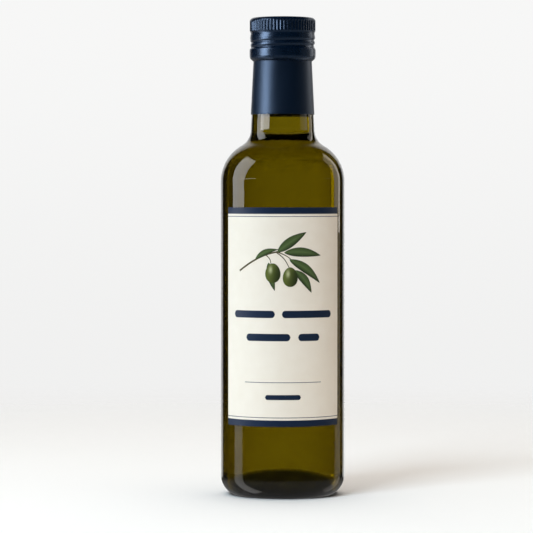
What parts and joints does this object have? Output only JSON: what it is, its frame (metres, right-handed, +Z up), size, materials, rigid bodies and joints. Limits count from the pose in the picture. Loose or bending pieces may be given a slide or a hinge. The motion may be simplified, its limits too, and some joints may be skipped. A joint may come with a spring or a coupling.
{
  "type": "olive oil bottle",
  "caption": "Round dark green glass bottle filled with olive oil, with a rolled metal screw cap, a neck sleeve and a plain printed paper label.",
  "frame": {"origin": "on the bottle's axis, at the level of the ring that it stands on", "axes": "+Z up along the bottle's axis, towards the cap; the middle of the label faces -Y"},
  "size_m": [0.066, 0.0662, 0.254],
  "materials": {
    "glass": "dark olive green bottle glass, smooth",
    "oil": "clear golden green oil",
    "cap_metal": "satin navy lacquer on rolled aluminium",
    "sleeve_foil": "satin navy film",
    "label_paper": "uncoated cream paper, printed"
  },
  "bodies": {
    "root": {"bottle": "glass", "oil": "oil", "cap": "cap_metal", "neck_sleeve": "sleeve_foil", "label": "label_paper"}
  },
  "joints": []
}
